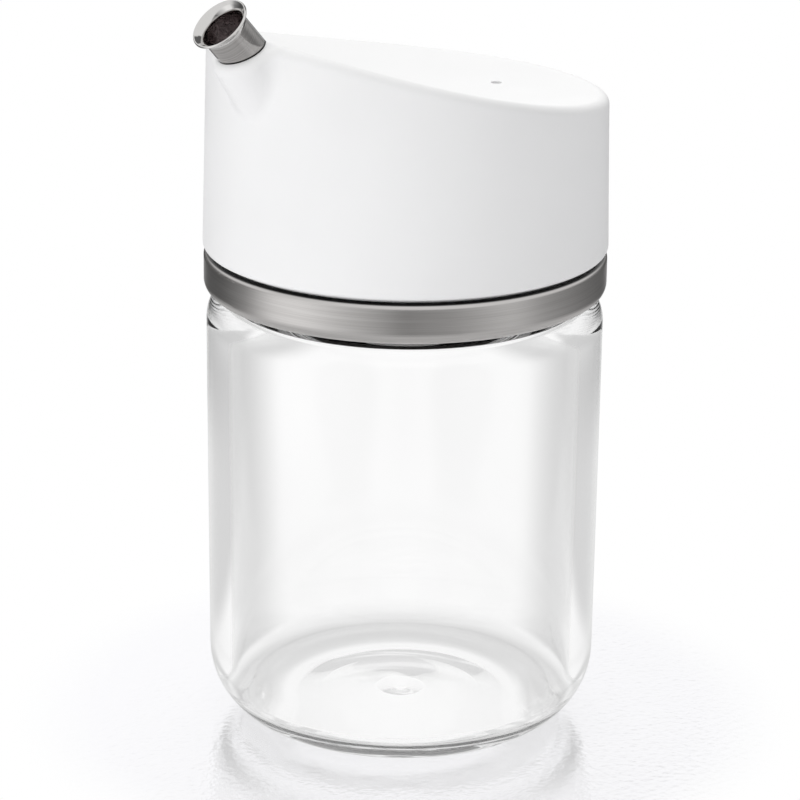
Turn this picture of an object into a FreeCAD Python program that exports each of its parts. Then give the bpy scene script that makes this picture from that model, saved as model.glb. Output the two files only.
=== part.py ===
import FreeCAD, Part
import math
import os

# Oil dispenser: a thick clear glass jar, a steel collar band, a moulded white lid with a dished
# top, and a flared steel spout tube. Millimetres, +Z up. The origin is on the jar's axis where
# the foot meets the table, and the spout leans out along +X, so y = 0 is the mirror plane.

V = FreeCAD.Vector
UP = V(0, 0, 1)
ORIGIN = V(0, 0, 0)

# Glass jar
JAR_RADIUS = 31.9            # outside, at the shoulder
JAR_DRAFT = 0.4              # radius lost from the shoulder down to the heel
JAR_SHOULDER_Z = 72.2        # where the side and the shoulder would meet if not rounded
JAR_WALL = 3.45
JAR_BASE = 5.0               # thickness of the floor
HEEL_ROUND = 12.0
FLOOR_ROUND = 3.0            # inside, where the wall turns into the floor
FLOOR_RIM = 0.1              # flat ring at the foot of that round, the floor's lowest place
FLOOR_RISE = 0.5             # from that ring up to the floor's middle
FLOOR_SLOPE_WIDTH = 4.2      # of the sloping ring between the two
FLOOR_SLOPE_ROUND = 4.0      # where the slope runs out into the middle
SHOULDER_ROUND = 6.0
SHOULDER_RISE = 1.5          # from the shoulder's corner up to the neck
INNER_SHOULDER_ROUND = 2.0
SHOULDER_WALL = 1.725        # thickness of the shoulder, straight down
FOOT_WIDTH = 2.4             # flat ring that the jar stands on
PUNT_DEPTH = 0.5             # step from the foot ring up into the hollow underside
PUNT_STEP_WIDTH = 1.5        # of that step, seen from below
PUNT_RISE = 0.7              # further rise of the underside to its centre
NUB_RADIUS = 2.0             # small round mould mark at the centre of the underside
NUB_DEPTH = 0.35
NECK_STEP = 4.7              # radius lost from the shoulder to the neck
NECK_WALL = 3.3
NECK_HEIGHT = 9.8
NECK_ROUND = 0.9

# Steel collar band, a rolled strip with its edges turned in
COLLAR_PROUD = 0.35          # radius over the jar's
COLLAR_HEIGHT = 6.75
COLLAR_SHEET = 0.6
COLLAR_TOP_ROUND = 1.1
COLLAR_BOTTOM_ROUND = 1.9
COLLAR_TOP_LIP = 1.2         # how far the top edge turns in
COLLAR_BOTTOM_LIP = 2.2
COLLAR_ABOVE_SHOULDER = 0.4

# Moulded lid
LID_PROUD = 0.15             # radius over the collar's, at the lid's bottom edge
LID_DRAFT_DEG = 1.3
LID_WALL = 2.0
LID_EDGE_ROUND = 0.8         # bottom edge
LID_RIM_ROUND = 1.5          # edges round the dished top and the boss's face
SKIRT_ROUND = 0.5            # foot of the ring that fills the collar
THREAD_ROOM = 1.6            # between the neck and the skirt
DECK_THICKNESS = 1.8         # ring that seals on the glass rim
DISH_LOW_INSET = 13.4        # lowest place of the dished top, in from the tail
DISH_LOW_HEIGHT = 23.7       # of that place above the lid's bottom edge
DISH_LENGTH_RADIUS = 92.6    # curve of the top along the mirror plane
DISH_CROSS_RADIUS = 153.0    # curve of the top across it
VENT_RADIUS = 0.9
VENT_INSET = 13.7            # in from the tail
BLANK_ROOM = 10.6            # height over the nose that the lid has before its top is cut

# Spout tube, and the boss on the lid that holds it
SPOUT_TILT_DEG = 42.0        # from the vertical, leaning out
SPOUT_RADIUS = 3.7
SPOUT_WALL = 0.4
SPOUT_EXPOSED = 6.4          # from the lid to the rim, along the axis
SPOUT_BURIED = 8.6           # inside the lid, along the axis
SPOUT_OVERHANG = 1.3         # the tube's axis leaves the boss this far outside the lid's wall
SPOUT_DROP = 3.2             # and this far below the end of the dished top
FLARE_RADIUS = 4.8           # of the rim
FLARE_DEG = 55.0             # how far the flare turns out from the tube
FLARE_BEND = 1.2             # outside radius of that bend
BOSS_RADIUS = 5.3
BOSS_DRAFT_DEG = 8.0
BOSS_ABOVE = 8.5             # lengths of its cone over and under its foot, past the faces
BOSS_BELOW = 15.9            # that trim it
BOSS_FACE_DEG = 24.0         # slope of the face that the tube comes out of
BOSS_BLEND = 3.0             # hollow blend of the boss into the lid's side

# Cut edges of both steel parts
SHEET_EDGE_ROUND = 0.4       # over the thickness of the sheet

# Clearances
SKIRT_CLEARANCE = 0.15       # from the skirt to the collar's top lip
SKIRT_LIFT = 0.3             # of the skirt's foot over the collar's bottom lip
GROOVE = 0.4                 # between the collar and the lid
SPOUT_CLEARANCE = 0.05       # between the tube and its hole

# Working values of the functions
CUTTER_SIZE = 100.0          # of a block that takes away everything on one side of a plane
SAME_PLACE = 1e-6            # points nearer than this are one point
ON_SURFACE = 1e-3            # a point nearer than this to a surface lies on it
EDGE_SAMPLES = 7             # points that are tried along an edge

# Sizes and places worked out from those above
NECK_RADIUS = JAR_RADIUS - NECK_STEP
NECK_BORE = NECK_RADIUS - NECK_WALL
COLLAR_RADIUS = JAR_RADIUS + COLLAR_PROUD
LID_RADIUS = COLLAR_RADIUS + LID_PROUD
DISH_LOW_X = DISH_LOW_INSET - LID_RADIUS
VENT_X = VENT_INSET - LID_RADIUS
NECK_TOP_Z = JAR_SHOULDER_Z + SHOULDER_RISE + NECK_HEIGHT
COLLAR_Z = JAR_SHOULDER_Z + COLLAR_ABOVE_SHOULDER
LID_Z = COLLAR_Z + COLLAR_HEIGHT + GROOVE
DISH_LOW_Z = LID_Z + DISH_LOW_HEIGHT


def rounded_outline(corners):
    """Closed wire in the XZ plane through corners (x, z, rounding radius)."""
    bends = []
    for i, (x, z, radius) in enumerate(corners):
        here = V(x, 0, z)
        if radius == 0:
            bends.append((here, None, here))
            continue
        before = corners[i - 1]
        after = corners[(i + 1) % len(corners)]
        back = (V(before[0], 0, before[1]) - here).normalize()
        ahead = (V(after[0], 0, after[1]) - here).normalize()
        half = back.getAngle(ahead) / 2
        inward = (back + ahead).normalize()
        reach = radius / math.tan(half)
        middle = here + inward * (radius / math.sin(half) - radius)
        bends.append((here + back * reach, middle, here + ahead * reach))
    edges = []
    for i, (start, middle, end) in enumerate(bends):
        last_end = bends[i - 1][2]
        if last_end.distanceToPoint(start) > SAME_PLACE:
            edges.append(Part.makeLine(last_end, start))
        if middle is not None:
            edges.append(Part.Arc(start, middle, end).toShape())
    return Part.Wire(edges)


def turned(corners):
    """Solid of revolution about Z, its seam on the tail side, of an outline in the XZ plane."""
    solid = Part.Face(rounded_outline(corners)).revolve(ORIGIN, UP, 360)
    solid.rotate(ORIGIN, UP, 180)
    return solid


def lid_radius_at(z):
    """Outside radius of the lid's drafted side at height z."""
    return LID_RADIUS - (z - LID_Z) * math.tan(math.radians(LID_DRAFT_DEG))


def dish_rise_at(x):
    """How far the dished top has risen at x from its lowest place, on the mirror plane."""
    return DISH_LENGTH_RADIUS - math.sqrt(DISH_LENGTH_RADIUS ** 2 - (x - DISH_LOW_X) ** 2)


def on_dish(point):
    """Whether a point lies on the dished top."""
    to_axis = math.hypot(point.y, DISH_LOW_Z + DISH_CROSS_RADIUS - point.z)
    return abs(to_axis + dish_rise_at(point.x) - DISH_CROSS_RADIUS) < ON_SURFACE


def spout_axis():
    """Unit vector out along the spout tube."""
    return V(math.sin(math.radians(SPOUT_TILT_DEG)), 0, math.cos(math.radians(SPOUT_TILT_DEG)))


def spout_foot():
    """Where the tube's axis leaves the boss."""
    nose_z = DISH_LOW_Z + dish_rise_at(LID_RADIUS)
    return V(lid_radius_at(nose_z) + SPOUT_OVERHANG, 0, nose_z - SPOUT_DROP)


def face_normal():
    """Unit vector out of the boss's sloping face."""
    return V(math.sin(math.radians(BOSS_FACE_DEG)), 0, math.cos(math.radians(BOSS_FACE_DEG)))


def on_face(point):
    """Whether a point lies on the boss's sloping face."""
    return abs((point - spout_foot()).dot(face_normal())) < ON_SURFACE


def on_side(point):
    """Whether a point lies on the lid's drafted side."""
    return abs(math.hypot(point.x, point.y) - lid_radius_at(point.z)) < ON_SURFACE


def all_points(edge, test):
    """Whether a test holds all along an edge."""
    return all(test(point) for point in edge.discretize(EDGE_SAMPLES))


def along_spout(shape):
    """Move a shape from the Z axis onto the spout's axis, its origin to the foot."""
    shape.Placement = FreeCAD.Placement(spout_foot(), FreeCAD.Rotation(UP, spout_axis()))
    return shape


def spout_cylinder(radius, low, high):
    """Cylinder about the spout's axis, from low to high along it, counted from the foot."""
    return along_spout(Part.makeCylinder(radius, high - low, V(0, 0, low)))


def glass_jar():
    """Jar with a rounded heel, a hollow underside, a rounded shoulder and an open neck."""
    heel_x = JAR_RADIUS - JAR_DRAFT
    foot_inner = heel_x - HEEL_ROUND - FOOT_WIDTH
    under = PUNT_DEPTH + PUNT_RISE
    floor_z = JAR_BASE - FLOOR_RISE
    floor_x = heel_x - JAR_WALL - FLOOR_ROUND - FLOOR_RIM
    inner_shoulder_z = JAR_SHOULDER_Z - SHOULDER_WALL
    return turned([
        (0, under - NUB_DEPTH, 0),
        (NUB_RADIUS, under - NUB_DEPTH, NUB_DEPTH / 2),
        (NUB_RADIUS + NUB_DEPTH, under, NUB_DEPTH / 2),
        (foot_inner - PUNT_STEP_WIDTH, PUNT_DEPTH, PUNT_DEPTH),
        (foot_inner, 0, PUNT_DEPTH / 2),
        (heel_x, 0, HEEL_ROUND),
        (JAR_RADIUS, JAR_SHOULDER_Z, SHOULDER_ROUND),
        (NECK_RADIUS, JAR_SHOULDER_Z + SHOULDER_RISE, NECK_ROUND / 2),
        (NECK_RADIUS, NECK_TOP_Z, NECK_ROUND),
        (NECK_BORE, NECK_TOP_Z, NECK_ROUND),
        (NECK_BORE, inner_shoulder_z + SHOULDER_RISE, INNER_SHOULDER_ROUND),
        (JAR_RADIUS - JAR_WALL, inner_shoulder_z, INNER_SHOULDER_ROUND),
        (heel_x - JAR_WALL, floor_z, FLOOR_ROUND),
        (floor_x, floor_z, FLOOR_RIM / 2),
        (floor_x - FLOOR_SLOPE_WIDTH, JAR_BASE, FLOOR_SLOPE_ROUND),
        (0, JAR_BASE, 0),
    ])


def collar_band():
    """C-section strip round the lid's skirt."""
    top = COLLAR_Z + COLLAR_HEIGHT
    inner = COLLAR_RADIUS - COLLAR_SHEET
    edge_round = SHEET_EDGE_ROUND * COLLAR_SHEET
    return turned([
        (COLLAR_RADIUS - COLLAR_BOTTOM_LIP, COLLAR_Z, edge_round),
        (COLLAR_RADIUS, COLLAR_Z, COLLAR_BOTTOM_ROUND),
        (COLLAR_RADIUS, top, COLLAR_TOP_ROUND),
        (COLLAR_RADIUS - COLLAR_TOP_LIP, top, 0),
        (COLLAR_RADIUS - COLLAR_TOP_LIP, top - COLLAR_SHEET, 0),
        (inner, top - COLLAR_SHEET, 0),
        (inner, COLLAR_Z + COLLAR_SHEET, COLLAR_BOTTOM_ROUND - COLLAR_SHEET),
        (COLLAR_RADIUS - COLLAR_BOTTOM_LIP, COLLAR_Z + COLLAR_SHEET, edge_round),
    ])


def dish(offset=0.0):
    """Barrel whose underside is the dished top, let down by offset."""
    radius = DISH_LENGTH_RADIUS + offset
    reach = 2 * LID_RADIUS
    low = V(DISH_LOW_X, 0, DISH_LOW_Z - offset)
    rise = radius - math.sqrt(radius ** 2 - reach ** 2)
    centre = V(DISH_LOW_X, 0, DISH_LOW_Z + DISH_CROSS_RADIUS)
    ends = [low + V(side * reach, 0, rise) for side in (-1, 1)]
    tops = [V(end.x, 0, centre.z) for end in ends]
    edges = [
        Part.Arc(ends[0], low, ends[1]).toShape(),
        Part.makeLine(ends[1], tops[1]),
        Part.makeLine(tops[1], tops[0]),
        Part.makeLine(tops[0], ends[0]),
    ]
    barrel = Part.Face(Part.Wire(edges)).revolve(centre, V(1, 0, 0), 360)
    barrel.rotate(centre, V(1, 0, 0), 180)
    return barrel


def above_face(depth=0.0):
    """Block over the plane of the boss's sloping face, let down by depth."""
    corner = V(-CUTTER_SIZE / 2, -CUTTER_SIZE / 2, 0)
    block = Part.makeBox(CUTTER_SIZE, CUTTER_SIZE, CUTTER_SIZE, corner)
    block.Placement = FreeCAD.Placement(spout_foot() - face_normal() * depth,
                                        FreeCAD.Rotation(UP, face_normal()))
    return block


def boss():
    """Drafted round boss about the spout, long enough to pass through the lid's side."""
    spread = math.tan(math.radians(BOSS_DRAFT_DEG))
    cone = Part.makeCone(BOSS_RADIUS + BOSS_BELOW * spread, BOSS_RADIUS - BOSS_ABOVE * spread,
                         BOSS_BELOW + BOSS_ABOVE, V(0, 0, -BOSS_BELOW))
    cone.rotate(ORIGIN, UP, 180)
    return along_spout(cone)


def lid_outside():
    """Solid lid: drafted side, blended boss, dished top, sloping face, and the skirt."""
    top = DISH_LOW_Z + dish_rise_at(LID_RADIUS) + BLANK_ROOM
    skirt_outer = COLLAR_RADIUS - COLLAR_TOP_LIP - SKIRT_CLEARANCE
    skirt_inner = NECK_RADIUS + THREAD_ROOM
    skirt_z = COLLAR_Z + COLLAR_SHEET + SKIRT_LIFT
    body = turned([
        (0, NECK_TOP_Z, 0),
        (skirt_inner, NECK_TOP_Z, 0),
        (skirt_inner, skirt_z, SKIRT_ROUND),
        (skirt_outer, skirt_z, SKIRT_ROUND),
        (skirt_outer, LID_Z, 0),
        (LID_RADIUS, LID_Z, LID_EDGE_ROUND),
        (lid_radius_at(top), top, 0),
        (0, top, 0),
    ]).fuse(boss())
    boss_edges = [edge for edge in body.Edges
                  if all_points(edge, on_side) and edge.BoundBox.XMin > 0
                  and edge.BoundBox.ZLength > BOSS_RADIUS]
    body = body.makeFillet(BOSS_BLEND, boss_edges).cut(dish()).cut(above_face())
    rim_edges = [edge for edge in body.Edges
                 if all_points(edge, on_dish) or all_points(edge, on_face)]
    return body.makeFillet(LID_RIM_ROUND, rim_edges)


def lid_hollow():
    """Room inside the lid, over the deck, round the sleeve that holds the tube."""
    deck_z = NECK_TOP_Z + DECK_THICKNESS
    top = DISH_LOW_Z + dish_rise_at(LID_RADIUS)
    room = turned([
        (0, NECK_TOP_Z, 0),
        (NECK_BORE, NECK_TOP_Z, 0),
        (NECK_BORE, deck_z, 0),
        (lid_radius_at(deck_z) - LID_WALL, deck_z, LID_EDGE_ROUND),
        (lid_radius_at(top) - LID_WALL, top, 0),
        (0, top, 0),
    ])
    sleeve = spout_cylinder(BOSS_RADIUS, -SPOUT_BURIED, SPOUT_EXPOSED)
    return room.cut(dish(LID_WALL)).cut(above_face(LID_WALL)).cut(sleeve)


def lid():
    """Moulded lid with the tube's hole and the vent."""
    hole_low = -SPOUT_BURIED - LID_WALL
    hole = spout_cylinder(SPOUT_RADIUS + SPOUT_CLEARANCE, hole_low, SPOUT_EXPOSED)
    vent_foot = V(VENT_X, 0, DISH_LOW_Z - 2 * LID_WALL)
    vent = Part.makeCylinder(VENT_RADIUS, 4 * LID_WALL, vent_foot)
    return lid_outside().cut(lid_hollow()).cut(hole).cut(vent)


def spout_tube():
    """Thin tube whose rim flares out."""
    turn = math.radians(FLARE_DEG)
    bore = SPOUT_RADIUS - SPOUT_WALL
    rim_z = SPOUT_EXPOSED - SPOUT_WALL * math.sin(turn)
    bend_z = rim_z - (FLARE_RADIUS - SPOUT_RADIUS) / math.tan(turn)
    edge_round = SHEET_EDGE_ROUND * SPOUT_WALL
    tube = Part.Face(rounded_outline([
        (bore, -SPOUT_BURIED, 0),
        (SPOUT_RADIUS, -SPOUT_BURIED, 0),
        (SPOUT_RADIUS, bend_z, FLARE_BEND),
        (FLARE_RADIUS, rim_z, edge_round),
        (FLARE_RADIUS - SPOUT_WALL * math.cos(turn), SPOUT_EXPOSED, edge_round),
        (bore, bend_z + SPOUT_WALL * math.tan(turn / 2), FLARE_BEND + SPOUT_WALL),
    ])).revolve(ORIGIN, UP, 360)
    return along_spout(tube)


def main():
    os.makedirs("parts", exist_ok=True)
    pieces = {
        "glass_jar": glass_jar(),
        "collar_band": collar_band(),
        "lid": lid(),
        "spout_tube": spout_tube(),
    }
    for name, piece in pieces.items():
        piece.exportStep(f"parts/{name}.step")
        print(name, piece.isValid(), len(piece.Solids), round(piece.Volume, 1))


if __name__ == "__main__":
    main()
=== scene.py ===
"""Looks of a glass oil dispenser: clear jar, steel collar, moulded white lid and flared spout."""
import logging
import math
from dataclasses import dataclass, field
from enum import Enum
from typing import Any, Iterable

import bpy
import numpy as np
from mathutils import Matrix, Vector


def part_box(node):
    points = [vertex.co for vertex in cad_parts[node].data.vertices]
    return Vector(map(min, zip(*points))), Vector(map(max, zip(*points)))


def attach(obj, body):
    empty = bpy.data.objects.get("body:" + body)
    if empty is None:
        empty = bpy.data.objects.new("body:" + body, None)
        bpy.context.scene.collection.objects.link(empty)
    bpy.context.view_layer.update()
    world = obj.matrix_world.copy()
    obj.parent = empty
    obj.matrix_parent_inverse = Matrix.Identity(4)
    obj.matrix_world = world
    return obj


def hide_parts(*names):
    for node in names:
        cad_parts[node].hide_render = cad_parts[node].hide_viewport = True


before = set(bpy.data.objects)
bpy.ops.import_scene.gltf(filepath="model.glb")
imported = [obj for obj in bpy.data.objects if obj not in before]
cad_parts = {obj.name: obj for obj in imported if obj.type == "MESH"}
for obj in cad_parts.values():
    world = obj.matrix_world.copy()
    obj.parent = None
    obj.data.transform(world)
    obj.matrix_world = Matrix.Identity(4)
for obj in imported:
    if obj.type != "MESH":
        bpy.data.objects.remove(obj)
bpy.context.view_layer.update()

MM = 0.001
BODY = "root"
Triple = tuple[float, float, float]
Pair = tuple[float, float]
WHITE = (1.0, 1.0, 1.0, 1.0)
PATCHES = (0.3, 0.7)  # the part of a noise's range that a colour change takes

log = logging.getLogger("oil_dispenser")


# ---------------------------------------------------------------- shader building

class Tree:
    """A node tree that is filled through one method."""

    def __init__(self, owner: Any) -> None:
        """Empty the owner's tree and start it afresh.

        Args:
            owner: a material or a world.
        """
        owner.use_nodes = True
        self.tree = owner.node_tree
        self.tree.nodes.clear()

    def node(self, kind: str, sockets: dict[Any, Any] | None = None, out: Any = 0,
             **settings: Any) -> "Signal":
        """Add one node, set it, then feed its sockets.

        Args:
            kind: Blender's type name of the node.
            sockets: value or Signal for each input, by its name or number.
            out: name or number of the output that is handed back.
            **settings: properties of the node; stops sets a colour ramp.

        Returns:
            The chosen output.
        """
        made = self.tree.nodes.new(kind)
        stops = settings.pop("stops", None)
        for name, value in settings.items():
            setattr(made, name, value)
        if stops is not None:
            self._fill_ramp(made.color_ramp, stops)
        for name, value in (sockets or {}).items():
            if isinstance(value, Signal):
                self.tree.links.new(value.socket, made.inputs[name])
            else:
                made.inputs[name].default_value = value
        return Signal(self, made.outputs[out]) if len(made.outputs) else Signal(self, None)

    @staticmethod
    def _fill_ramp(ramp: Any, stops: Iterable[tuple[float, float]]) -> None:
        """Give a colour ramp its stops.

        Args:
            ramp: the node's ramp.
            stops: place and grey of each stop.
        """
        for number, (spot, grey) in enumerate(stops):
            if number >= len(ramp.elements):
                ramp.elements.new(1.0)
            ramp.elements[number].position = spot
            ramp.elements[number].color = (grey, grey, grey, 1.0)


class Signal:
    """One output socket. Python's operators on it add Math nodes."""

    def __init__(self, tree: Tree, socket: Any) -> None:
        """Wrap a socket of a tree."""
        self.tree = tree
        self.socket = socket

    def math(self, operation: str, *others: Any) -> "Signal":
        """Math node of this signal and others, in order."""
        return self.tree.node("ShaderNodeMath", dict(enumerate((self, *others))),
                              operation=operation)

    def _swapped(self, operation: str, other: Any) -> "Signal":
        """Math node with the other value first."""
        return self.tree.node("ShaderNodeMath", {0: other, 1: self}, operation=operation)

    def __add__(self, other: Any) -> "Signal":
        """Sum."""
        return self.math("ADD", other)

    __radd__ = __add__

    def __mul__(self, other: Any) -> "Signal":
        """Product."""
        return self.math("MULTIPLY", other)

    __rmul__ = __mul__

    def __sub__(self, other: Any) -> "Signal":
        """Difference."""
        return self.math("SUBTRACT", other)

    def __rsub__(self, other: Any) -> "Signal":
        """Difference, reflected."""
        return self._swapped("SUBTRACT", other)

    def __truediv__(self, other: Any) -> "Signal":
        """Quotient."""
        return self.math("DIVIDE", other)

    def __rtruediv__(self, other: Any) -> "Signal":
        """Quotient, reflected."""
        return self._swapped("DIVIDE", other)

    def __pow__(self, other: Any) -> "Signal":
        """Power."""
        return self.math("POWER", other)

    def between(self, low: Any, high: Any) -> "Signal":
        """Value that goes from low at 0 to high at 1."""
        return self * (high - low) + low

    def smooth(self, low: float, high: float) -> "Signal":
        """Smooth step from 0 at low to 1 at high."""
        return self.tree.node("ShaderNodeMapRange",
                              {"Value": self, "From Min": low, "From Max": high},
                              interpolation_type="SMOOTHSTEP")


def place(tree: Tree) -> Signal:
    """Object coordinates, in metres in the part's own frame."""
    return tree.node("ShaderNodeTexCoord", out="Object")


def vectors(tree: Tree, operation: str, *inputs: Any, out: Any = 0) -> Signal:
    """Vector Math node of the inputs, in order."""
    return tree.node("ShaderNodeVectorMath", dict(enumerate(inputs)), out, operation=operation)


def axes_of(tree: Tree, vector: Signal) -> tuple[Signal, ...]:
    """X, Y and Z of a vector."""
    outputs = tree.node("ShaderNodeSeparateXYZ", {0: vector}).socket.node.outputs
    return tuple(Signal(tree, output) for output in outputs)


def noise(tree: Tree, vector: Signal, scale: float, detail: float = 2.0,
          stretch: Triple = (1.0, 1.0, 1.0)) -> Signal:
    """Fractal noise, finer along an axis whose stretch is larger.

    Args:
        tree: where the nodes go.
        vector: coordinates.
        scale: of the noise along an axis of stretch 1.
        detail: octaves above the first.
        stretch: factor of each axis.

    Returns:
        The noise, from 0 to 1.
    """
    scaled = vectors(tree, "MULTIPLY", vector, stretch)
    return tree.node("ShaderNodeTexNoise", {"Vector": scaled, "Scale": scale, "Detail": detail})


def mixed(tree: Tree, factor: Signal, low: Any, high: Any) -> Signal:
    """Colour from low at factor 0 to high at factor 1.

    Args:
        tree: where the node goes.
        factor: from 0 to 1.
        low: a Signal or an RGB colour.
        high: a Signal or an RGB colour.

    Returns:
        The colour.
    """
    low, high = (end if isinstance(end, Signal) else (*end, 1.0) for end in (low, high))
    return tree.node("ShaderNodeMix", {0: factor, 6: low, 7: high}, out=2, data_type="RGBA")


def rays(tree: Tree) -> tuple[Signal, Signal, Signal]:
    """Tell what a ray did last.

    A ray through sharp glass counts as both passed and mirrored, so the last flag leaves it out.

    Args:
        tree: where the node goes.

    Returns:
        Flags, 0 or 1: straight to the eye, passed through glass, and mirrored.
    """
    camera = tree.node("ShaderNodeLightPath", out="Is Camera Ray")
    outputs = camera.socket.node.outputs
    through = Signal(tree, outputs["Is Transmission Ray"])
    mirrored = Signal(tree, outputs["Is Glossy Ray"]) * (1.0 - through)
    return camera, through, mirrored


def bumped(tree: Tree, height: Signal, metres: float) -> Signal:
    """Normal of a surface whose height signal spans that many metres."""
    return tree.node("ShaderNodeBump", {"Height": height, "Distance": metres, "Strength": 1.0})


# ---------------------------------------------------------------- finishes

class Slot(Enum):
    """Material slots of the record."""

    GLASS = "clear_glass"
    BRUSHED = "brushed_steel"
    PLASTIC = "white_plastic"
    POLISHED = "polished_steel"


@dataclass(frozen=True)
class ClearGlass:
    """Thick pressed glass, almost colourless, with faint waves from the mould."""

    name: str = "clear pressed glass"
    tint: Triple = (0.99, 0.99, 0.99)
    ior: float = 1.5
    wave_size: float = 22.0
    wave_detail: float = 1.0
    wave_height: float = 0.02 * MM

    def material(self) -> bpy.types.Material:
        """Make the material.

        Returns:
            The material.
        """
        made = bpy.data.materials.new(self.name)
        tree = Tree(made)
        waves = noise(tree, place(tree), self.wave_size, self.wave_detail)
        shader = tree.node("ShaderNodeBsdfPrincipled", {
            "Base Color": (*self.tint, 1.0),
            "Roughness": 0.0,
            "IOR": self.ior,
            "Transmission Weight": 1.0,
            "Normal": bumped(tree, waves, self.wave_height),
        })
        tree.node("ShaderNodeOutputMaterial", {"Surface": shader})
        return made


@dataclass(frozen=True)
class BrushedSteel:
    """Stainless sheet brushed round the band, with fine level scratches and a painted shade along
    its top edge.
    """

    name: str = "steel brushed round the band"
    dark: Triple = (0.50, 0.485, 0.475)
    light: Triple = (0.60, 0.585, 0.575)
    # edge: near-black colour of the painted shade along the band's top edge, under the lid
    edge: Triple = (0.02, 0.02, 0.02)
    painted_shade_width: float = 0.5 * MM
    roughness: Pair = (0.25, 0.35)
    fine_scratches: Triple = (60.0, 60.0, 9000.0)
    fine_detail: float = 3.0
    fine_share: float = 0.65
    broad_scratches: Triple = (25.0, 25.0, 1500.0)
    scratch_height: float = 0.006 * MM

    def material(self, top: float) -> bpy.types.Material:
        """Make the material.

        Args:
            top: height of the band's upper edge, which is painted near black as the shade that
                the lid casts there.

        Returns:
            The material.
        """
        made = bpy.data.materials.new(self.name)
        tree = Tree(made)
        here = place(tree)
        height = axes_of(tree, here)[2]
        # Painted shade: the top strip of the band is coloured near black where the lid shades it.
        painted_shade_mask = height.smooth(top - self.painted_shade_width, top - self.painted_shade_width / 2)
        fine = noise(tree, here, 1.0, self.fine_detail, self.fine_scratches)
        broad = noise(tree, here, 1.0, stretch=self.broad_scratches)
        scratches = fine * self.fine_share + broad * (1.0 - self.fine_share)
        steel = mixed(tree, scratches.smooth(*PATCHES), self.dark, self.light)
        shader = tree.node("ShaderNodeBsdfPrincipled", {
            # painted shade mixed into the steel colour at the top edge
            "Base Color": mixed(tree, painted_shade_mask, steel, self.edge),
            "Metallic": 1.0,
            "Roughness": scratches.between(*self.roughness),
            "Normal": bumped(tree, scratches, self.scratch_height),
        })
        tree.node("ShaderNodeOutputMaterial", {"Surface": shader})
        return made


@dataclass(frozen=True)
class WhitePlastic:
    """Matt white moulded plastic with a very fine even grain."""

    name: str = "matt white moulded plastic"
    dark: Triple = (0.855, 0.855, 0.855)
    light: Triple = (0.885, 0.885, 0.885)
    roughness: Pair = (0.45, 0.55)
    flow_size: float = 35.0
    grain_size: float = 2600.0
    grain_height: float = 0.008 * MM

    def material(self) -> bpy.types.Material:
        """Make the material.

        Returns:
            The material.
        """
        made = bpy.data.materials.new(self.name)
        tree = Tree(made)
        here = place(tree)
        grain = noise(tree, here, self.grain_size)
        flow = noise(tree, here, self.flow_size)
        shader = tree.node("ShaderNodeBsdfPrincipled", {
            "Base Color": mixed(tree, flow.smooth(*PATCHES), self.dark, self.light),
            "Roughness": flow.between(*self.roughness),
            "Normal": bumped(tree, grain, self.grain_height),
        })
        tree.node("ShaderNodeOutputMaterial", {"Surface": shader})
        return made


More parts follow.
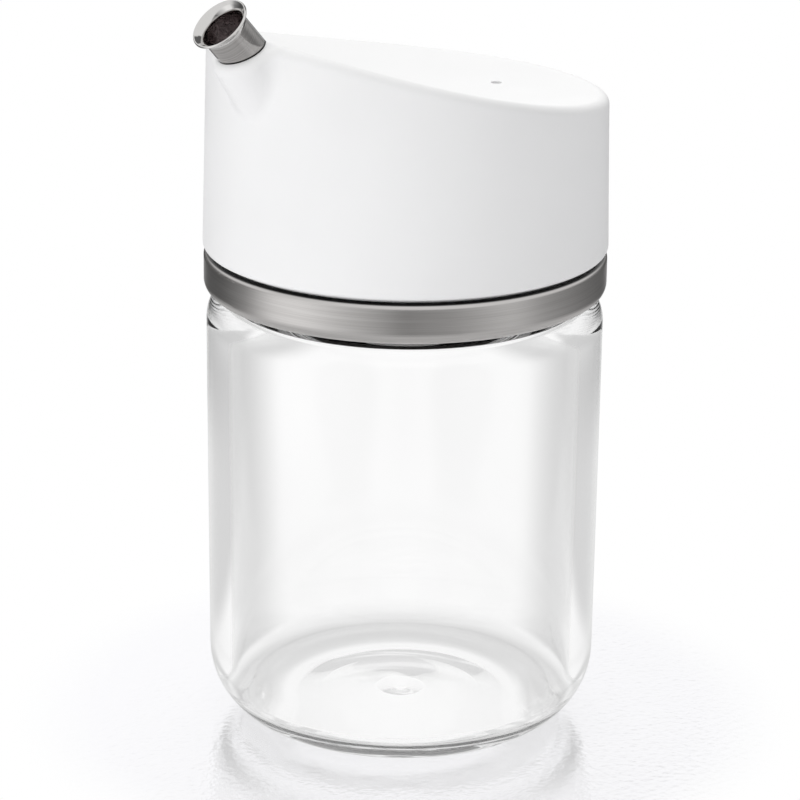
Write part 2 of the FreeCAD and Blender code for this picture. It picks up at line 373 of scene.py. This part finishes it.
@dataclass(frozen=True)
class SpoutSteel:
    """Drawn stainless tube: satin along its length and polished at the flared rim, with a painted
    highlight on the rim and painted shade where it leaves the lid.
    """

    name: str = "drawn steel with a bright rim"
    dark: Triple = (0.36, 0.345, 0.34)
    light: Triple = (0.47, 0.46, 0.45)
    streak_size: float = 5200.0
    streak_detail: float = 3.0
    streak_height: float = 0.004 * MM
    # rim colour: lighter than the tube, a painted highlight on the polished flare
    painted_rim_highlight: Triple = (0.62, 0.61, 0.60)
    rim_fade: Pair = (-0.6 * MM, 0.4 * MM)
    bore_dark: Triple = (0.56, 0.51, 0.51)
    bore_light: Triple = (0.78, 0.74, 0.74)
    bore_patches: Pair = (0.35, 0.65)
    bore_patch_size: float = 450.0
    bore_fade: Pair = (0.05 * MM, 0.2 * MM)
    # near-black painted shade where the tube leaves the lid, and the width of that band
    painted_seam_shade: Triple = (0.02, 0.02, 0.02)
    painted_seam_shade_width: float = 0.35 * MM
    satin: float = 0.15
    bright: float = 0.07

    def material(self, foot: Vector, along: Vector, flare_at: float, bore: float,
                 seam: tuple[np.ndarray, np.ndarray]) -> bpy.types.Material:
        """Make the material.

        Args:
            foot: a point on the tube's axis.
            along: unit vector out along it.
            flare_at: distance from the foot at which the finish turns polished and the painted
                highlight begins.
            bore: radius of the tube's bore, which is smooth inside.
            seam: point and unit normal of the plane where the tube leaves the lid; next to it the
                tube is painted near black as the shade in that crease.

        Returns:
            The material.
        """
        made = bpy.data.materials.new(self.name)
        tree = Tree(made)
        here = place(tree)
        off = vectors(tree, "SUBTRACT", here, tuple(foot))
        way = vectors(tree, "DOT_PRODUCT", off, tuple(along), out="Value")
        # rim mask: the low roughness it brings is real polish; the lighter colour it mixes in is
        # a painted highlight
        rim = (way - flare_at).smooth(*self.rim_fade)
        across = vectors(tree, "LENGTH", vectors(tree, "CROSS_PRODUCT", off, tuple(along)),
                         out="Value")
        outside = (across - bore).smooth(*self.bore_fade)
        above = vectors(tree, "DOT_PRODUCT", vectors(tree, "SUBTRACT", here, tuple(seam[0])),
                        tuple(seam[1]), out="Value")
        # Painted shade: by the plane where the tube leaves the lid it is coloured near black, as
        # the shade in that crease.
        painted_shade_mask = 1.0 - above.smooth(self.painted_seam_shade_width / 2, self.painted_seam_shade_width)
        streaks = tree.node("ShaderNodeTexNoise",
                            {"W": way * self.streak_size, "Scale": 1.0,
                             "Detail": self.streak_detail}, noise_dimensions="1D")
        drawn = mixed(tree, streaks.smooth(*PATCHES), self.dark, self.light)
        patches = noise(tree, here, self.bore_patch_size).smooth(*self.bore_patches)
        inside = mixed(tree, patches, self.bore_dark, self.bore_light)
        steel = mixed(tree, outside, inside, mixed(tree, painted_shade_mask, drawn, self.painted_seam_shade))
        shader = tree.node("ShaderNodeBsdfPrincipled", {
            # painted highlight: the rim's lighter base colour
            "Base Color": mixed(tree, rim, steel, self.painted_rim_highlight),
            "Metallic": 1.0,
            "Roughness": rim.between(self.satin, self.bright),
            "Normal": bumped(tree, streaks * (1.0 - rim) * outside, self.streak_height),
        })
        tree.node("ShaderNodeOutputMaterial", {"Surface": shader})
        return made


# ---------------------------------------------------------------- surfaces

def rounded_profile(corners: list[Triple], bend: int = 14) -> np.ndarray:
    """Profile through corners, each rounded by an arc tangent to both of its sides.

    A point of an arc at turn t is middle + radius * (cos t, sin t), with t running evenly from
    the side that comes in to the side that goes out.

    Args:
        corners: radius, height and rounding of each corner, in metres; the ends are sharp.
        bend: points of each arc.

    Returns:
        Array of (radius, height) rows.
    """
    points = [np.array([corners[0][:2]])]
    for before, here, after in zip(corners, corners[1:], corners[2:]):
        spot = np.array(here[:2])
        back = np.array(before[:2]) - spot
        ahead = np.array(after[:2]) - spot
        back /= np.linalg.norm(back)
        ahead /= np.linalg.norm(ahead)
        half = math.acos(float(np.clip(back @ ahead, -1, 1))) / 2
        if here[2] == 0:
            points.append(spot[None])
            continue
        bisector = (back + ahead) / np.linalg.norm(back + ahead)
        middle = spot + bisector * here[2] / math.sin(half)
        start = spot + back * here[2] / math.tan(half) - middle
        end = spot + ahead * here[2] / math.tan(half) - middle
        first = math.atan2(start[1], start[0])
        sweep = (math.atan2(end[1], end[0]) - first + math.pi) % (2 * math.pi) - math.pi
        turn = first + sweep * np.linspace(0, 1, bend)
        points.append(middle + here[2] * np.stack([np.cos(turn), np.sin(turn)], 1))
    points.append(np.array([corners[-1][:2]]))
    return np.concatenate(points)


def evenly_cut(profile: np.ndarray, longest: float) -> np.ndarray:
    """Divide every side of a profile that is longer than a limit into equal parts.

    Part i of n starts at start + (end - start) * i / n.

    Args:
        profile: (radius, height) rows.
        longest: limit of a side, in metres.

    Returns:
        The rows with the new ones between.
    """
    parts = []
    for start, end in zip(profile, profile[1:]):
        count = max(1, math.ceil(float(np.linalg.norm(end - start)) / longest))
        parts.append(start + (end - start) * np.arange(count)[:, None] / count)
    return np.concatenate([*parts, profile[-1:]])


def lathe(name: str, profile: np.ndarray, around: int) -> bpy.types.Object:
    """Surface of revolution about Z: point (r, z) at turn t goes to (r cos t, r sin t, z).

    A profile end on the axis becomes one point with a fan of triangles, so the pole is closed.

    Args:
        name: of the new object.
        profile: (radius, height) rows from one end on the axis to the other.
        around: points on each ring.

    Returns:
        The new object, its faces pointing to the right of the profile's way.
    """
    turn = np.linspace(0, 2 * math.pi, around, endpoint=False)
    inner = profile[1:-1]
    rings = np.stack([
        inner[:, :1] * np.cos(turn),
        inner[:, :1] * np.sin(turn),
        np.repeat(inner[:, 1:], around, 1),
    ], 2).reshape(-1, 3)
    poles = np.array([[0, 0, profile[0, 1]], [0, 0, profile[-1, 1]]])
    low, high = len(rings), len(rings) + 1
    column = np.arange(around)
    beside = (column + 1) % around
    row = np.arange(len(inner) - 1)[:, None] * around
    quads = np.stack([row + column, row + beside, row + around + beside, row + around + column],
                     2).reshape(-1, 4)
    last = (len(inner) - 1) * around
    fans = np.concatenate([
        np.stack([np.full(around, low), beside, column], 1),
        np.stack([np.full(around, high), last + column, last + beside], 1),
    ])
    mesh = bpy.data.meshes.new(name)
    mesh.from_pydata(np.concatenate([rings, poles]), [], quads.tolist() + fans.tolist())
    mesh.shade_smooth()
    mesh.validate()
    made = bpy.data.objects.new(name, mesh)
    bpy.context.scene.collection.objects.link(made)
    return made


def vertices_of(piece: bpy.types.Object) -> np.ndarray:
    """Read the points of a piece's mesh.

    Args:
        piece: any mesh object.

    Returns:
        Array of (x, y, z) rows.
    """
    spots = np.empty(len(piece.data.vertices) * 3)
    piece.data.vertices.foreach_get("co", spots)
    return spots.reshape(-1, 3)


def dress(piece: bpy.types.Object, material: bpy.types.Material) -> None:
    """Give a piece one material."""
    piece.data.materials.clear()
    piece.data.materials.append(material)


def dress_node(name: str, material: bpy.types.Material) -> None:
    """Give each slot of a node of the frame one material."""
    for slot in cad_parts[name].material_slots:
        slot.material = material


# ---------------------------------------------------------------- sub-assemblies

@dataclass
class GlassJar:
    """Thick pressed jar: rounded heel, dimpled underside, rippled floor, shoulder and neck."""

    node: str = "glass_jar"
    wall: float = 3.45 * MM
    draft: float = 0.4 * MM
    base: float = 5.0 * MM
    heel_round: float = 12.0 * MM
    floor_round: float = 3.0 * MM
    floor_rim: float = 0.1 * MM
    floor_rise: float = 0.5 * MM
    floor_slope: float = 4.2 * MM
    slope_round: float = 4.0 * MM
    shoulder_round: float = 6.0 * MM
    shoulder_rise: float = 1.5 * MM
    shoulder_wall: float = 1.725 * MM
    inner_shoulder_round: float = 0.5 * MM
    foot_width: float = 2.4 * MM
    punt_depth: float = 0.5 * MM
    punt_step: float = 4.0 * MM
    punt_rise: float = 0.7 * MM
    nub_radius: float = 2.0 * MM
    nub_depth: float = 0.35 * MM
    neck_step: float = 4.7 * MM
    neck_wall: float = 3.3 * MM
    neck_height: float = 9.8 * MM
    neck_round: float = 0.9 * MM
    floor_edge: float = 25.1 * MM
    floor_heights: Pair = (3.0 * MM, 7.0 * MM)
    ring_fade: float = 0.5 * MM
    ring_middle: Pair = (1.07 * MM, -0.90 * MM)
    rings: tuple[Triple, ...] = (
        (20.7 * MM, 0.16 * MM, 0.8 * MM), (15.0 * MM, 0.07 * MM, 2.0 * MM),
        (9.0 * MM, 0.06 * MM, 1.8 * MM), (0.0, 0.2 * MM, 1.6 * MM))
    around: int = 240
    longest: float = 1.0 * MM
    finish: ClearGlass = field(default_factory=ClearGlass)

    def profile(self) -> np.ndarray:
        """Outline from the underside's centre round the outside to the floor's centre.

        Returns:
            Array of (radius, height) rows.
        """
        low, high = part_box(self.node)
        radius, top = high.x, high.z
        heel = radius - self.draft
        foot = heel - self.heel_round - self.foot_width
        under = self.punt_depth + self.punt_rise
        shoulder = top - self.neck_height - self.shoulder_rise
        inner = shoulder - self.shoulder_wall
        neck = radius - self.neck_step
        bore = neck - self.neck_wall
        floor = self.base - self.floor_rise
        edge = heel - self.wall - self.floor_round - self.floor_rim
        outline = rounded_profile([
            (0, low.z + under - self.nub_depth, 0),
            (self.nub_radius / 2, low.z + under - self.nub_depth, self.nub_radius),
            (self.nub_radius * 2, low.z + under, self.nub_radius * 2),
            (foot - self.punt_step, low.z + self.punt_depth, self.punt_step * 2),
            (foot, low.z, self.punt_step * 2),
            (heel, low.z, self.heel_round),
            (radius, shoulder, self.shoulder_round),
            (neck, shoulder + self.shoulder_rise, self.neck_round / 2),
            (neck, top, self.neck_round),
            (bore, top, self.neck_round),
            (bore, inner + self.shoulder_rise, self.inner_shoulder_round),
            (radius - self.wall, inner, self.inner_shoulder_round),
            (heel - self.wall, low.z + floor, self.floor_round),
            (edge, low.z + floor, self.floor_rim / 2),
            (edge - self.floor_slope, low.z + self.base, self.slope_round),
            (0, low.z + self.base, 0),
        ])
        return evenly_cut(outline, self.longest)

    def raise_rings(self, jar: bpy.types.Object) -> None:
        """Raise soft rings on the inner floor, round a point a little off the axis.

        A ring of radius a, height h and width w adds h * exp(-((d - a) / w) ** 2) at distance d
        from that point, fading out where the floor ends.

        Args:
            jar: the piece, whose points are moved up.
        """
        spots = vertices_of(jar)
        x, y, z = spots.T
        off = np.hypot(x - self.ring_middle[0], y - self.ring_middle[1])
        reach = np.hypot(x, y)
        low, high = self.floor_heights
        inside = (reach < self.floor_edge) & (z > low) & (z < high)
        fade = np.clip((self.floor_edge - reach) / self.ring_fade, 0, 1)
        for radius, height, width in self.rings:
            z += inside * fade * height * np.exp(-((off - radius) / width) ** 2)
        jar.data.vertices.foreach_set("co", spots.reshape(-1))
        jar.data.update()

    def build(self) -> bpy.types.Object:
        """Make the jar in place of its plain solid.

        Returns:
            The jar.
        """
        jar = lathe("jar_glass", self.profile(), self.around)
        self.raise_rings(jar)
        dress(jar, self.finish.material())
        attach(jar, BODY)
        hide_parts(self.node)
        return jar


@dataclass
class Closure:
    """Steel collar, moulded lid and spout tube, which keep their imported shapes."""

    collar: str = "collar_band"
    lid: str = "lid"
    spout: str = "spout_tube"
    spout_tilt: float = math.radians(42.0)
    bright_length: float = 1.4 * MM
    bore: float = 3.3 * MM
    hole: float = 3.75 * MM
    hole_slack: float = 0.02 * MM
    fewest_points: int = 8
    band_finish: BrushedSteel = field(default_factory=BrushedSteel)
    lid_finish: WhitePlastic = field(default_factory=WhitePlastic)
    spout_finish: SpoutSteel = field(default_factory=SpoutSteel)

    def build(self) -> list[bpy.types.Object]:
        """Dress the three nodes.

        Returns:
            Their objects.
        """
        dress_node(self.collar, self.band_finish.material(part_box(self.collar)[1].z))
        dress_node(self.lid, self.lid_finish.material())
        low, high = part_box(self.spout)
        middle = (low + high) / 2
        along = Vector((math.sin(self.spout_tilt), 0, math.cos(self.spout_tilt)))
        flare_at = self.tip_reach(along) - along.dot(middle) - self.bright_length
        dress_node(self.spout, self.spout_finish.material(middle, along, flare_at, self.bore,
                                                          self.seam(middle, along)))
        return [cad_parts[name] for name in (self.collar, self.lid, self.spout)]

    def seam(self, middle: Vector, along: Vector) -> tuple[np.ndarray, np.ndarray]:
        """Plane of the hole's outer edge in the lid, fitted to the points on that edge.

        Args:
            middle: a point on the tube's axis.
            along: unit vector out along it.

        Returns:
            A point of the plane and its unit normal, facing out.
        """
        axis = np.array(along)
        off = vertices_of(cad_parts[self.lid]) - np.array(middle)
        way = off @ axis
        across = np.linalg.norm(off - way[:, None] * axis, axis=1)
        hole = np.abs(across - self.hole) < self.hole_slack
        if np.count_nonzero(hole) < self.fewest_points:
            # Without the hole, the plane of the painted seam shade goes one metre back along the
            # axis, so no shade is painted.
            log.warning("no hole found for the spout, so its seam is left out")
            return np.array(middle) - axis, axis
        edge = off[hole & (way > way[hole].mean())]
        centre = edge.mean(0)
        normal = np.linalg.svd(edge - centre)[2][-1]
        log.info("spout seam fitted to %d points", len(edge))
        return centre + np.array(middle), normal * np.sign(normal @ axis)

    def tip_reach(self, along: Vector) -> float:
        """Furthest that the tube reaches along its axis."""
        return float((vertices_of(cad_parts[self.spout]) @ np.array(along)).max())


# ---------------------------------------------------------------- studio

@dataclass(frozen=True)
class Lamp:
    """Soft square lamp that lights the object but is not seen in it."""

    name: str
    spot: Triple
    size: float
    watts: float
    aim: Triple = (0.0, 0.0, 0.06)

    def hang(self) -> None:
        """Make the lamp and turn it towards its aim."""
        data = bpy.data.lights.new(self.name, "AREA")
        data.energy, data.size = self.watts, self.size
        made = bpy.data.objects.new(self.name, data)
        way = Vector(self.aim) - Vector(self.spot)
        made.matrix_world = (Matrix.Translation(self.spot)
                             @ way.to_track_quat("-Z", "Y").to_matrix().to_4x4())
        made.visible_glossy = False
        made.visible_transmission = False
        bpy.context.scene.collection.objects.link(made)


@dataclass(frozen=True)
class Panels:
    """Pale and dark panels all round the stage, seen only through glass and in mirrors.

    Their places are bearings from the front of the set, which is where the camera stands.
    """

    front: float = math.radians(50.0)
    mirrored: tuple[Pair, ...] = (
        (-180, 1.0), (-165, 0.9), (-150, 0.12), (-119, 0.2), (-79, 0.45), (-60, 0.85),
        (-39, 0.6), (-24, 0.40), (-8, 0.38), (0, 0.18), (8, 0.45), (35, 0.85), (55, 1.25),
        (75, 1.2), (95, 0.3), (120, 0.1), (150, 0.12), (165, 0.9), (180, 1.0))
    dip: float = 0.33
    far_band: Pair = (0.55, 0.95)
    near_band: Pair = (0.24, 0.56)
    near_reach: float = 0.03
    near_fade: Pair = (0.19, 0.28)
    behind_band: Pair = (0.78, 0.90)

    def turned(self, x: Signal, y: Signal) -> Signal:
        """Bearing of a spot or a direction, less that of the front."""
        return y.math("ARCTAN2", x) - self.front

    def in_mirror(self, tree: Tree, turned: Signal) -> Signal:
        """Brightness in a mirror: a ramp over the bearing, growing to the left from the front.

        Args:
            tree: where the nodes go.
            turned: bearing from the front.

        Returns:
            The brightness, 1 for plain white.
        """
        share = (1.5 - turned / (2 * math.pi)).math("FRACT")
        peak = max(value for _, value in self.mirrored)
        return peak * tree.node("ShaderNodeValToRGB", {0: share}, stops=[
            (turn / 360 + 0.5, value / peak) for turn, value in self.mirrored])

    def behind(self, turned: Signal) -> Signal:
        """1 straight behind the object and 0 elsewhere, from the cosine of the bearing."""
        return (turned.math("COSINE") * -1.0).smooth(*self.behind_band)

    @staticmethod
    def aside(turned: Signal) -> Signal:
        """|sin(2 bearing)|: 0 in front, behind and at both sides, 1 half way between."""
        return (turned * 2.0).math("SINE").math("ABSOLUTE")

    def through_far(self, aside: Signal) -> Signal:
        """Brightness through glass far off, less where |sin(4 bearing)| is high.

        With s = |sin(2 bearing)| that is 2 s sqrt(1 - s * s).
        """
        slant = aside * ((1.0 - aside * aside) ** 0.5) * 2.0
        return 1.0 - slant.smooth(*self.far_band) * self.dip

    def through_near(self, aside: Signal, reach: Signal) -> Signal:
        """Brightness through glass on the floor, where the panels narrow towards the object.

        Args:
            aside: |sin(2 bearing)|.
            reach: distance from the object's axis.

        Returns:
            The brightness, which becomes that of far off with growing reach.
        """
        near = 1.0 - (aside - self.near_reach / reach).smooth(*self.near_band) * self.dip
        return reach.smooth(*self.near_fade).between(near, self.through_far(aside))


@dataclass(frozen=True)
class PaleFloor:
    """Pale floor, faintly mirroring and slightly rough, that turns plain white further out, with
    a painted shadow round the jar's foot that only the glass shows.
    """

    name: str = "pale floor"
    matt: Triple = (0.95, 0.95, 0.965)
    shine: Triple = (0.97, 0.965, 1.0)
    shine_share: float = 0.85
    roughness: float = 0.17
    grain_size: float = 900.0
    grain_height: float = 0.08 * MM
    near_white: float = 0.45
    white_fade: Pair = (0.048, 0.066)
    painted_shadow_reach: float = 0.1
    # Grey by reach from the axis, seen only through the glass: a painted shadow round the jar's
    # foot, darkest from about 20 to 30 mm out.
    under: tuple[Pair, ...] = (
        (0.0, 1.0), (0.19, 0.97), (0.205, 0.75), (0.225, 0.68), (0.30, 0.70), (0.36, 0.88),
        (0.5, 0.97), (0.7, 1.0))
    near_mirrored: float = 0.7
    mirrored_fade: Pair = (0.13, 0.21)
    behind_fade: Pair = (0.3, 0.4)
    behind_dark: float = 0.9

    def material(self, panels: Panels) -> bpy.types.Material:
        """Make the material.

        Args:
            panels: what glass and mirrors see of the floor.

        Returns:
            The material.
        """
        made = bpy.data.materials.new(self.name)
        tree = Tree(made)
        here = place(tree)
        x, y, _ = axes_of(tree, here)
        camera, through, mirrored = rays(tree)
        reach = (x * x + y * y) ** 0.5
        turned = panels.turned(x, y)
        # Painted shadow on the floor round the jar's foot, which only rays through the glass see.
        under = tree.node("ShaderNodeValToRGB", {0: reach / self.painted_shadow_reach}, stops=self.under)
        passed = under * panels.through_near(panels.aside(turned), reach)
        dark = panels.behind(turned) * reach.smooth(*self.behind_fade) * self.behind_dark
        ring = reach.smooth(*self.mirrored_fade).between(
            self.near_mirrored, panels.in_mirror(tree, turned) * (1.0 - dark))
        grain = noise(tree, here, self.grain_size)
        matt = tree.node("ShaderNodeBsdfDiffuse", {"Color": (*self.matt, 1.0)})
        shiny = tree.node("ShaderNodeBsdfGlossy",
                          {"Color": (*self.shine, 1.0), "Roughness": self.roughness,
                           "Normal": bumped(tree, grain, self.grain_height)})
        lit = tree.node("ShaderNodeMixShader", {0: camera * self.shine_share, 1: matt, 2: shiny})
        white = tree.node("ShaderNodeEmission",
                          {"Color": camera + through * passed + mirrored * ring})
        share = camera * reach.smooth(*self.white_fade).between(self.near_white, 1.0)
        both = tree.node("ShaderNodeMixShader", {0: share + through + mirrored, 1: lit, 2: white})
        tree.node("ShaderNodeOutputMaterial", {"Surface": both})
        return made


@dataclass(frozen=True)
class Sky:
    """White surroundings, with the panels low down and one dark card above and behind."""

    name: str = "studio"
    light: float = 0.62
    panel_top: Pair = (0.03, 0.25)
    card: Triple = (-0.516, -0.426, 0.743)
    card_band: Pair = (0.93, 0.965)
    card_dark: float = 0.85

    def world(self, panels: Panels) -> bpy.types.World:
        """Make the world.

        Args:
            panels: what glass and mirrors see of it.

        Returns:
            The world.
        """
        made = bpy.data.worlds.new(self.name)
        tree = Tree(made)
        way = tree.node("ShaderNodeTexCoord", out="Generated")
        x, y, z = axes_of(tree, way)
        camera, through, mirrored = rays(tree)
        turned = panels.turned(x, y)
        ring = z.smooth(*self.panel_top).between(panels.in_mirror(tree, turned), 1.0)
        card = vectors(tree, "DOT_PRODUCT", way, self.card, out="Value").smooth(*self.card_band)
        ring = ring * (1.0 - card * self.card_dark)
        passed = panels.through_far(panels.aside(turned))
        shown = tree.node("ShaderNodeBackground", {
            "Color": WHITE, "Strength": camera + through * passed + mirrored * ring})
        lit = tree.node("ShaderNodeBackground", {"Color": WHITE, "Strength": self.light})
        both = tree.node("ShaderNodeMixShader",
                         {0: camera + through + mirrored, 1: lit, 2: shown})
        tree.node("ShaderNodeOutputWorld", {"Surface": both})
        return made


@dataclass
class Studio:
    """Pale sweep, soft lamps and the camera. The surroundings are plain white to the eye."""

    camera_spot: Triple = (0.35594, 0.42350, 0.23744)
    camera_yaw: float = math.radians(140.0157)
    camera_pitch: float = math.radians(71.6)
    camera_roll: float = math.radians(0.66)
    camera_range: Pair = (0.02, 50.0)
    lens: float = 161.82
    sensor: float = 36.0
    bounces: int = 40
    floor_size: float = 6.0
    floor_drop: float = 0.02 * MM
    floor_finish: PaleFloor = field(default_factory=PaleFloor)
    panels: Panels = field(default_factory=Panels)
    sky: Sky = field(default_factory=Sky)
    lamps: tuple[Lamp, ...] = (
        Lamp("rear softbox", (-0.32, -0.38, 0.75), 0.7, 4.0),
        Lamp("left softbox", (0.85, 0.1, 0.45), 0.6, 2.6),
    )

    def shot(self) -> None:
        """Make the camera."""
        data = bpy.data.cameras.new("camera")
        data.lens = self.lens
        data.sensor_width = self.sensor
        data.clip_start, data.clip_end = self.camera_range
        made = bpy.data.objects.new("camera", data)
        made.matrix_world = (Matrix.Translation(self.camera_spot)
                             @ Matrix.Rotation(self.camera_yaw, 4, "Z")
                             @ Matrix.Rotation(self.camera_pitch, 4, "X")
                             @ Matrix.Rotation(self.camera_roll, 4, "Z"))
        bpy.context.scene.collection.objects.link(made)
        bpy.context.scene.camera = made

    def floor(self) -> None:
        """Lay the floor, a single square face just under the object's foot."""
        size = self.floor_size
        corners = [(-size, -size), (size, -size), (size, size), (-size, size)]
        mesh = bpy.data.meshes.new("floor")
        mesh.from_pydata([(*corner, -self.floor_drop) for corner in corners], [], [(0, 1, 2, 3)])
        made = bpy.data.objects.new("floor", mesh)
        bpy.context.scene.collection.objects.link(made)
        dress(made, self.floor_finish.material(self.panels))

    def build(self) -> None:
        """Set the whole stage."""
        scene = bpy.context.scene
        scene.view_settings.view_transform = "Standard"
        cycles = scene.cycles
        cycles.max_bounces = cycles.glossy_bounces = cycles.transmission_bounces = self.bounces
        scene.world = self.sky.world(self.panels)
        self.shot()
        self.floor()
        for lamp in self.lamps:
            lamp.hang()


def main() -> None:
    """Build the dispenser and its stage."""
    logging.basicConfig(level=logging.INFO, format="%(name)s: %(message)s")
    Studio().build()
    jar = GlassJar().build()
    log.info("%s: %d faces", jar.name, len(jar.data.polygons))
    for piece in Closure().build():
        log.info("%s: %d faces", piece.name, len(piece.data.polygons))


if __name__ == "__main__":
    main()
